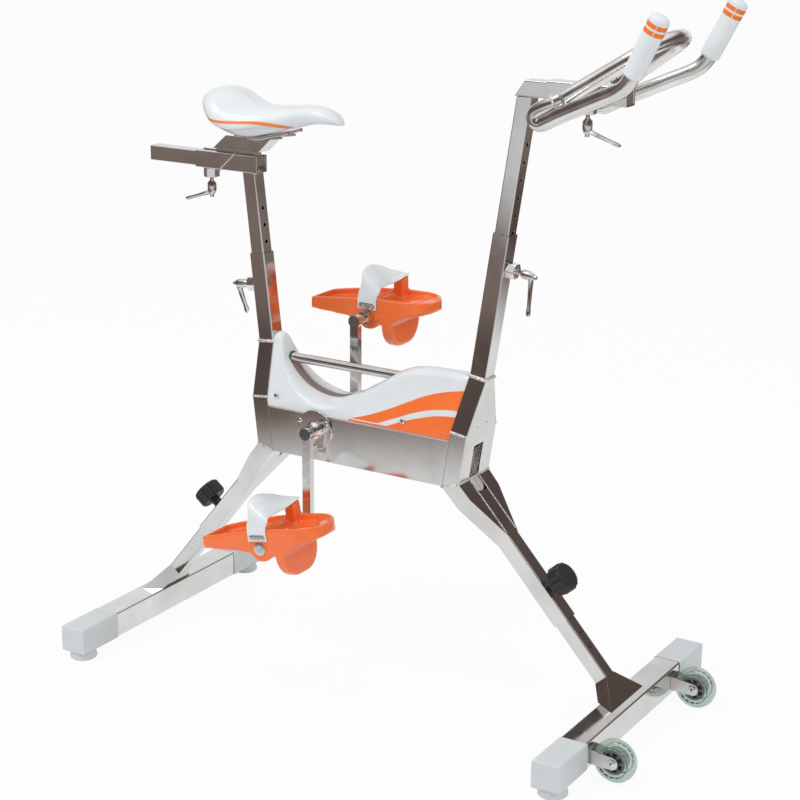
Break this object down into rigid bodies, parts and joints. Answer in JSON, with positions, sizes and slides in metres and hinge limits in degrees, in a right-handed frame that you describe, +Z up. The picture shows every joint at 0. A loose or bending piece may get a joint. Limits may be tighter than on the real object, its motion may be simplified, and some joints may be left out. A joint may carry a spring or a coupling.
{
  "type": "pool exercise bike",
  "caption": "Stainless pool exercise bike: flared square-tube frame on two telescopic legs, pedal crank under a moulded cover, sliding saddle, and a handlebar with upright grips.",
  "frame": {"origin": "on the floor, at the centre of the bounding box's bottom face", "axes": "+X forward to the wheels and handlebar, +Y to the rider's left, +Z up"},
  "size_m": [1.1026, 0.561, 1.2247],
  "materials": {
    "steel": "polished",
    "orange_shell": "gloss",
    "white_shell": "gloss",
    "white_cap": "satin",
    "black_plastic": "matte",
    "clear_tyre": "clear, glossy"
  },
  "bodies": {
    "frame": {"rear_sleeve": "steel", "front_sleeve": "steel", "rear_side_plate_near": "steel", "rear_side_plate_far": "steel", "front_side_plate_near": "steel", "front_side_plate_far": "steel", "front_plate": "steel", "rear_plate": "steel", "crossbar": "steel", "housing_channel": "steel", "cover": "white_shell", "bottom_bracket": "steel", "rear_leg_socket": "steel", "front_leg_socket": "steel", "rear_clamp_nut": "steel", "front_clamp_nut": "steel"},
    "seat_mast": {"seat_post": "steel", "seat_sleeve": "steel", "seat_clamp_nut": "steel", "seat_lanyard": "steel"},
    "seat": {"seat_slider": "steel", "seat_bracket": "steel", "saddle": "white_shell"},
    "stem_mast": {"stem_post": "steel", "stem_tube": "steel"},
    "handlebar": {"stem_sleeve": "steel", "stem_clamp_nut": "steel", "handlebar_bow": "steel", "handlebar_lower_near": "steel", "handlebar_lower_far": "steel", "grip_near": "white_shell", "grip_far": "white_shell"},
    "front_foot": {"front_leg_tube": "steel", "front_foot_bar": "steel", "front_cap_near": "white_cap", "front_cap_far": "white_cap", "wheel_fork_near": "steel", "wheel_fork_far": "steel"},
    "rear_foot": {"rear_leg_tube": "steel", "rear_foot_bar": "steel", "rear_cap_near": "white_cap", "rear_cap_far": "white_cap"},
    "crank": {"crank_axle": "steel", "crank_arm_near": "steel", "crank_arm_far": "steel"},
    "pedal_near": {"pedal_near": "orange_shell", "pedal_strap_near": "white_shell"},
    "pedal_far": {"pedal_far": "orange_shell", "pedal_strap_far": "white_shell"},
    "wheel_near": {"wheel_hub_near": "black_plastic", "wheel_tyre_near": "clear_tyre"},
    "wheel_far": {"wheel_hub_far": "black_plastic", "wheel_tyre_far": "clear_tyre"},
    "rear_lever": {"rear_clamp_lever": "steel"},
    "front_lever": {"front_clamp_lever": "steel"},
    "seat_lever": {"seat_clamp_lever": "steel"},
    "stem_lever": {"stem_clamp_lever": "steel"},
    "rear_knob": {"rear_leg_knob": "black_plastic"},
    "front_knob": {"front_leg_knob": "black_plastic"}
  },
  "joints": [
    {"name": "seat_height", "type": "slide", "parent": "frame", "child": "seat_mast", "axis": [-0.1132, 0, 0.9936], "range_m": [-0.11, 0.06]},
    {"name": "seat_reach", "type": "slide", "parent": "seat_mast", "child": "seat", "axis": [1, 0, 0], "range_m": [-0.08, 0.06]},
    {"name": "handlebar_height", "type": "slide", "parent": "frame", "child": "stem_mast", "axis": [0.153, 0, 0.9882], "range_m": [-0.15, 0.1]},
    {"name": "handlebar_reach", "type": "slide", "parent": "stem_mast", "child": "handlebar", "axis": [1, 0, 0], "range_m": [-0.022, 0.05]},
    {"name": "front_leg_length", "type": "slide", "parent": "frame", "child": "front_foot", "axis": [0.6711, 0, -0.7414], "range_m": [-0.06, 0.09]},
    {"name": "rear_leg_length", "type": "slide", "parent": "frame", "child": "rear_foot", "axis": [-0.6293, 0, -0.7771], "range_m": [-0.06, 0.09]},
    {"name": "crank_spin", "type": "hinge", "parent": "frame", "child": "crank", "pos_m": [-0.1397, 0, 0.4535], "axis": [0, 1, 0], "continuous": true},
    {"name": "pedal_near_spin", "type": "hinge", "parent": "crank", "child": "pedal_near", "pos_m": [-0.1397, -0.174, 0.2845], "axis": [0, 1, 0], "continuous": true},
    {"name": "pedal_far_spin", "type": "hinge", "parent": "crank", "child": "pedal_far", "pos_m": [-0.1397, 0.168, 0.6225], "axis": [0, 1, 0], "continuous": true},
    {"name": "wheel_near_spin", "type": "hinge", "parent": "front_foot", "child": "wheel_near", "pos_m": [0.514, -0.161, 0.0373], "axis": [0, 1, 0], "continuous": true},
    {"name": "wheel_far_spin", "type": "hinge", "parent": "front_foot", "child": "wheel_far", "pos_m": [0.514, 0.161, 0.0373], "axis": [0, 1, 0], "continuous": true},
    {"name": "rear_lever_turn", "type": "hinge", "parent": "frame", "child": "rear_lever", "pos_m": [-0.28254, 0, 0.68835], "axis": [-0.9936, 0, -0.1132], "range_deg": [-90, 90]},
    {"name": "front_lever_turn", "type": "hinge", "parent": "frame", "child": "front_lever", "pos_m": [0.19438, 0, 0.7807], "axis": [0.9882, 0, -0.153], "range_deg": [-90, 90]},
    {"name": "seat_lever_turn", "type": "hinge", "parent": "seat_mast", "child": "seat_lever", "pos_m": [-0.3964, 0, 0.8878], "axis": [0, 0, -1], "range_deg": [-90, 90]},
    {"name": "stem_lever_turn", "type": "hinge", "parent": "handlebar", "child": "stem_lever", "pos_m": [0.3456, 0, 1.0634], "axis": [0, 0, -1], "range_deg": [-90, 90]},
    {"name": "rear_knob_turn", "type": "hinge", "parent": "frame", "child": "rear_knob", "pos_m": [-0.38322, 0, 0.23625], "axis": [-0.7771, 0, 0.6293], "continuous": true},
    {"name": "front_knob_turn", "type": "hinge", "parent": "frame", "child": "front_knob", "pos_m": [0.29464, 0, 0.22529], "axis": [0.7414, 0, 0.6711], "continuous": true}
  ]
}
